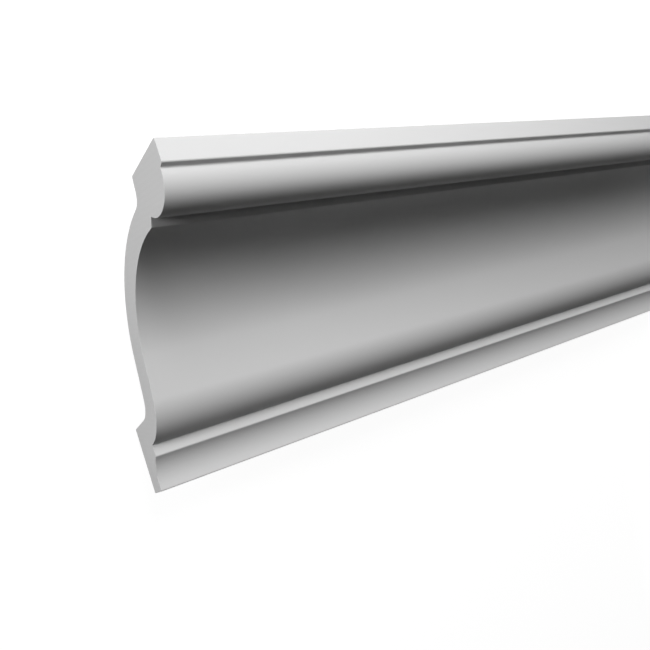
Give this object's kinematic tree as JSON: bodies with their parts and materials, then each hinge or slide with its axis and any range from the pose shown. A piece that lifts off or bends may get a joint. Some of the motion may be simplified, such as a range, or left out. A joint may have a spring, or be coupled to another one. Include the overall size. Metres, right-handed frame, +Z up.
{
  "type": "cornice moulding",
  "caption": "Sprung cornice moulding with an ogee, cove and bead between flat lands for wall and ceiling, hollow back and square-cut ends.",
  "frame": {"origin": "bottom centre of the box around the moulding as it lies on a floor", "axes": "+X along the length, +Y towards the edge that meets the ceiling, +Z up, out of the moulded face"},
  "size_m": [2, 0.1682, 0.0486],
  "materials": {
    "primed_polyurethane": "smooth factory-primed matt white on moulded rigid polyurethane foam"
  },
  "bodies": {
    "root": {"cornice_moulding": "primed_polyurethane"}
  },
  "joints": []
}
